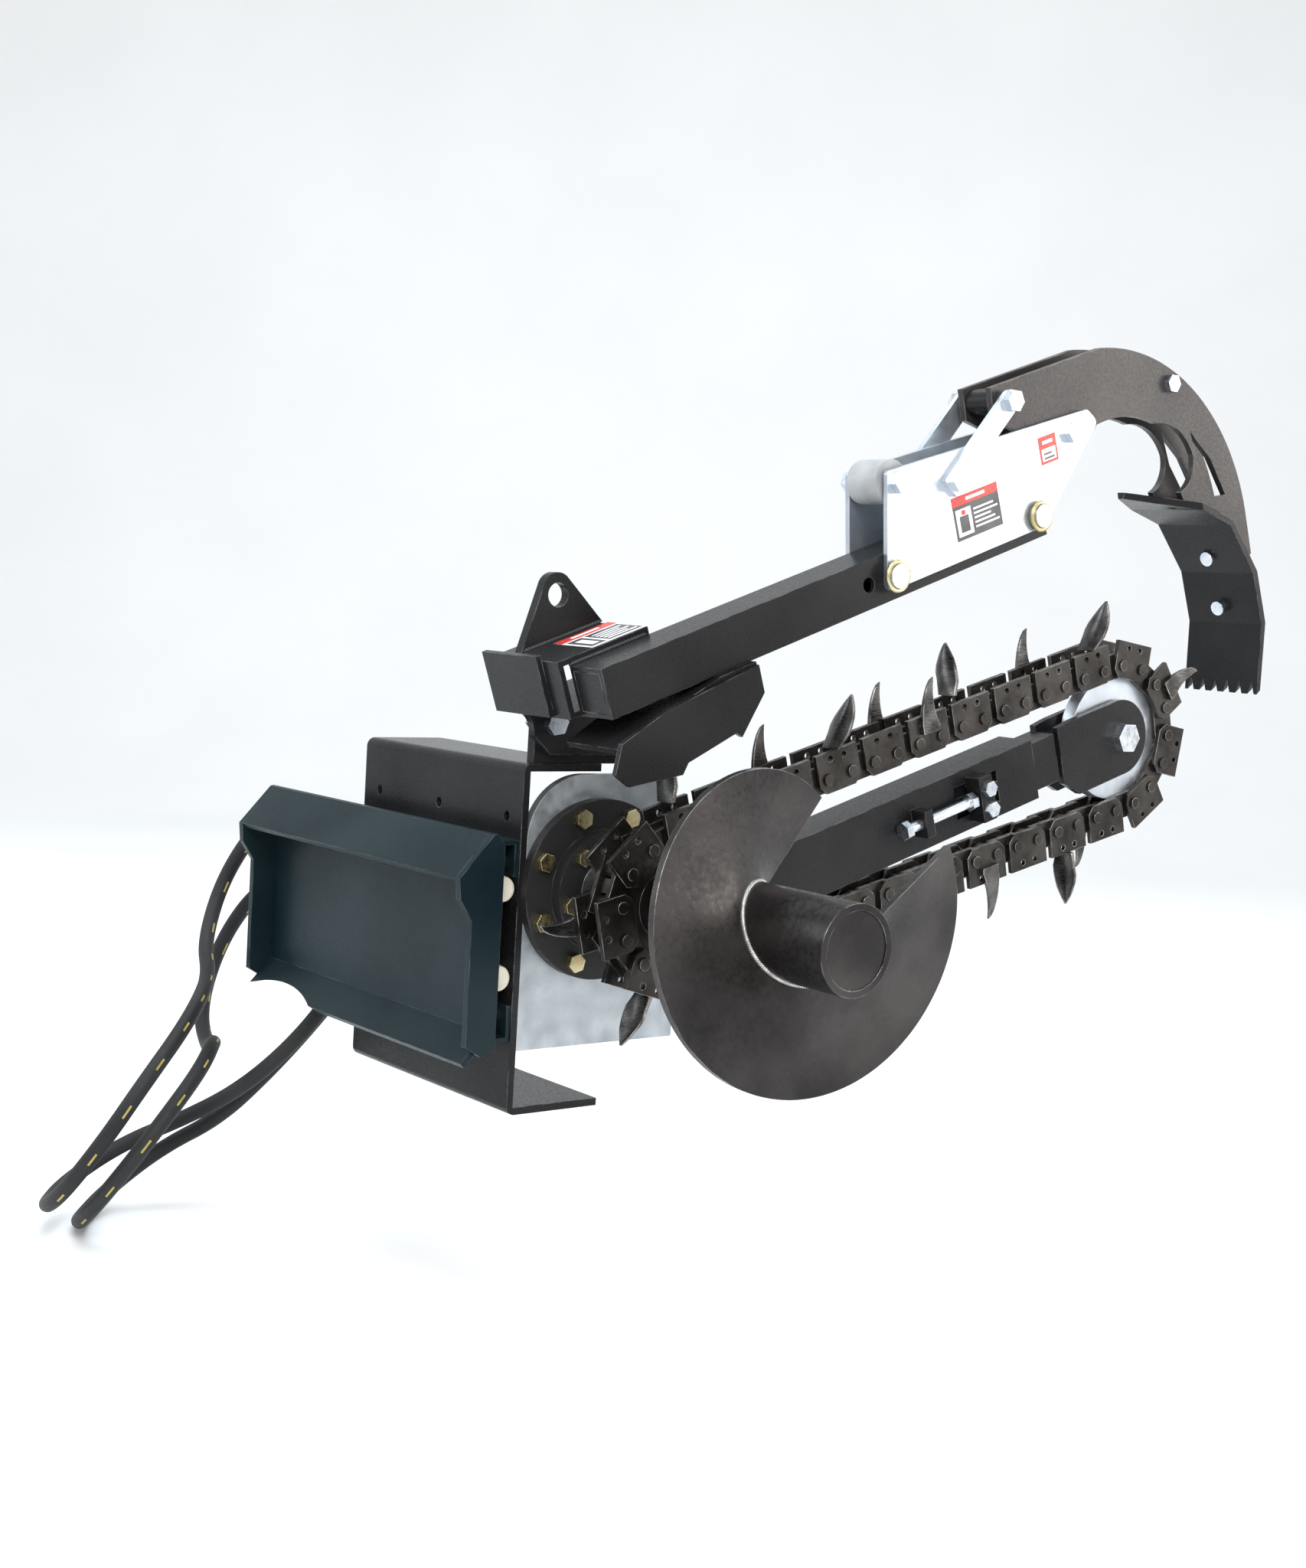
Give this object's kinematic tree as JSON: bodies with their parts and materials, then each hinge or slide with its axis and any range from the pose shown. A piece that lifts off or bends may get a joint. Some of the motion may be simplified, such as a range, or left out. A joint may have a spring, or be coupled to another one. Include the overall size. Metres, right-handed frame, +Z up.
{
  "type": "chain trencher attachment",
  "caption": "Hydraulic chain trencher attachment with coupler plate, slanted digging boom, spoil auger, pin-locked crumber arm and two parked hoses.",
  "frame": {"origin": "middle of the coupler plate's top crest, where the loader's attachment plate hooks in", "axes": "+X forward along the digging boom, +Y to the left, +Z up"},
  "size_m": [1.3133, 1.0132, 1.0696],
  "materials": {
    "black_paint": "satin",
    "galvanised": "satin",
    "white_zinc": "bright zinc plate",
    "yellow_zinc": "yellow zinc plate",
    "grey_roller": "matte",
    "worn_steel": "worn, rubbed by soil",
    "auger_steel": "satin, worn",
    "hose_rubber": "matte",
    "cap_plastic": "matte"
  },
  "bodies": {
    "root": {"beam_end_plug": "black_paint", "bearing_housing": "black_paint", "boom_bracket": "black_paint", "boom_tube": "black_paint", "bracket_bolts": "white_zinc", "chain_cup_cutters": "worn_steel", "chain_fins": "worn_steel", "chain_guard_right": "black_paint", "chain_guard_top": "black_paint", "chain_inner_plates": "worn_steel", "chain_outer_plates": "worn_steel", "chain_pins": "worn_steel", "chain_rollers": "worn_steel", "coupler_plate": "black_paint", "coupler_side_plates": "black_paint", "crumber_braces": "white_zinc", "crumber_bracket_left": "white_zinc", "crumber_bracket_right": "white_zinc", "drive_head_bolts": "yellow_zinc", "frame_bolts": "white_zinc", "frame_ear": "black_paint", "head_bearing": "white_zinc", "head_frame": "black_paint", "hose_lower": "hose_rubber", "hose_lower_end": "cap_plastic", "hose_rails": "black_paint", "hose_upper": "hose_rubber", "hose_upper_end": "cap_plastic", "lifting_lug": "black_paint", "motor_body": "black_paint", "motor_end_cover": "black_paint", "motor_gerotor_ring": "black_paint", "motor_port_fittings": "white_zinc", "mount_plate": "galvanised", "support_box": "black_paint", "support_saddle": "black_paint", "upper_beam": "black_paint"},
    "drive_head": {"head_shaft": "worn_steel", "drive_sprocket": "worn_steel", "auger_tube": "auger_steel", "auger_end_cap": "auger_steel", "auger_hub_plate": "auger_steel", "auger_flight": "auger_steel"},
    "boom_extension": {"boom_slide_bar": "black_paint", "tension_block": "black_paint", "boom_clamp_bolts": "white_zinc", "nose_yoke_plates": "black_paint", "nose_axle_bolt": "white_zinc"},
    "idler": {"nose_wheel": "white_zinc", "nose_wheel_bearing": "white_zinc"},
    "screw": {"tension_screw": "white_zinc"},
    "crumber": {"crumber_arm_right": "black_paint", "crumber_arm_left": "black_paint", "crumber_cross_tubes": "white_zinc", "crumber_bush": "black_paint", "crumber_shoe": "black_paint", "crumber_shoe_bolts": "white_zinc"},
    "rear_pin": {"lock_pin_rear": "white_zinc"},
    "front_pin": {"lock_pin_front": "white_zinc"},
    "roller": {"bracket_roller": "grey_roller"}
  },
  "joints": [
    {"name": "head_spin", "type": "hinge", "parent": "root", "child": "drive_head", "pos_m": [0.14, -0.341, -0.061], "axis": [0, 1, 0], "continuous": true},
    {"name": "boom_tension", "type": "slide", "parent": "root", "child": "boom_extension", "axis": [0.9553, 0, 0.2957], "range_m": [-0.009, 0]},
    {"name": "idler_spin", "type": "hinge", "parent": "boom_extension", "child": "idler", "pos_m": [0.80838, -0.341, 0.11554], "axis": [0, 1, 0], "continuous": true},
    {"name": "screw_turn", "type": "hinge", "parent": "boom_extension", "child": "screw", "pos_m": [0.46498, -0.377, 0.01866], "axis": [0.9553, 0, 0.2957], "range_deg": [-1620, 0]},
    {"name": "crumber_lift", "type": "hinge", "parent": "root", "child": "crumber", "pos_m": [0.66662, -0.341, 0.46336], "axis": [0, -1, 0], "range_deg": [0, 30]},
    {"name": "rear_pin_pull", "type": "slide", "parent": "root", "child": "rear_pin", "axis": [0, -1, 0], "range_m": [0, 0.085]},
    {"name": "front_pin_pull", "type": "slide", "parent": "root", "child": "front_pin", "axis": [0, -1, 0], "range_m": [0, 0.085]},
    {"name": "roller_spin", "type": "hinge", "parent": "root", "child": "roller", "pos_m": [0.40111, -0.341, 0.38588], "axis": [0, 1, 0], "continuous": true}
  ],
  "couplings": [
    {"joint": "screw_turn", "follows": "boom_tension", "rad_per_m": 3141.6}
  ]
}
